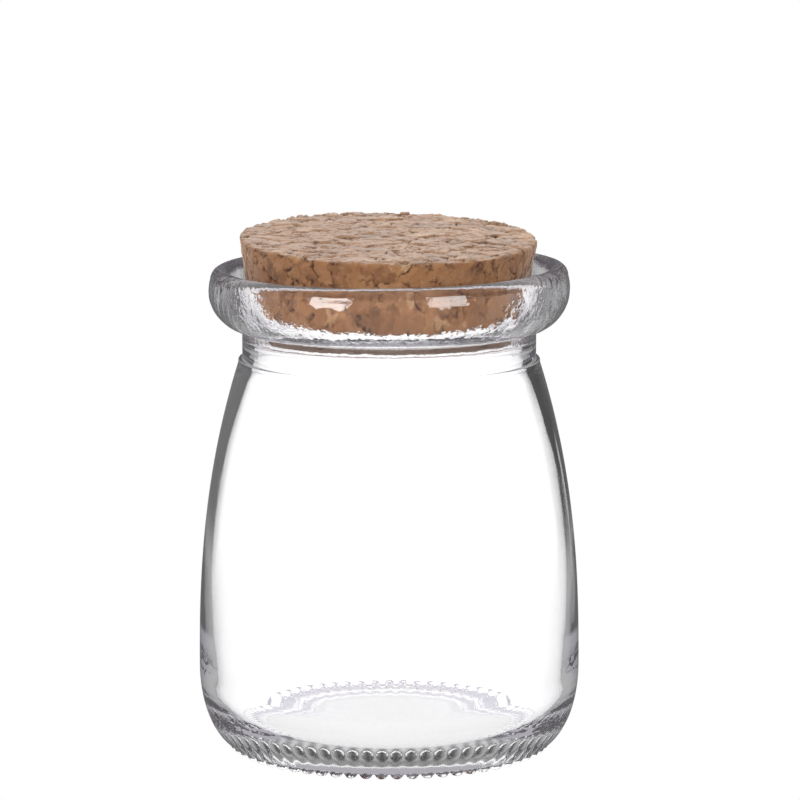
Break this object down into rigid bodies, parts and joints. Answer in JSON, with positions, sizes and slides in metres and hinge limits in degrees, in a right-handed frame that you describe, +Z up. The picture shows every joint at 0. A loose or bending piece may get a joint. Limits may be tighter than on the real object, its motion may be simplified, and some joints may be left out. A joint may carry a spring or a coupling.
{
  "type": "glass jar with cork",
  "caption": "Small empty clear glass dessert jar with a flared bowl-shaped lip and a beaded base ring, closed by a tapered agglomerated cork.",
  "frame": {"origin": "centre of the standing ring, on the surface that the jar stands on", "axes": "+Z up along the jar's axis; -Y is the front, which the cork leans towards"},
  "size_m": [0.062, 0.062, 0.0849],
  "materials": {
    "clear_glass": "clear moulded glass, faintly rippled",
    "cork": "matt agglomerated cork, granules of 2 to 5 mm"
  },
  "bodies": {
    "root": {"jar": "clear_glass", "cork": "cork"}
  },
  "joints": []
}
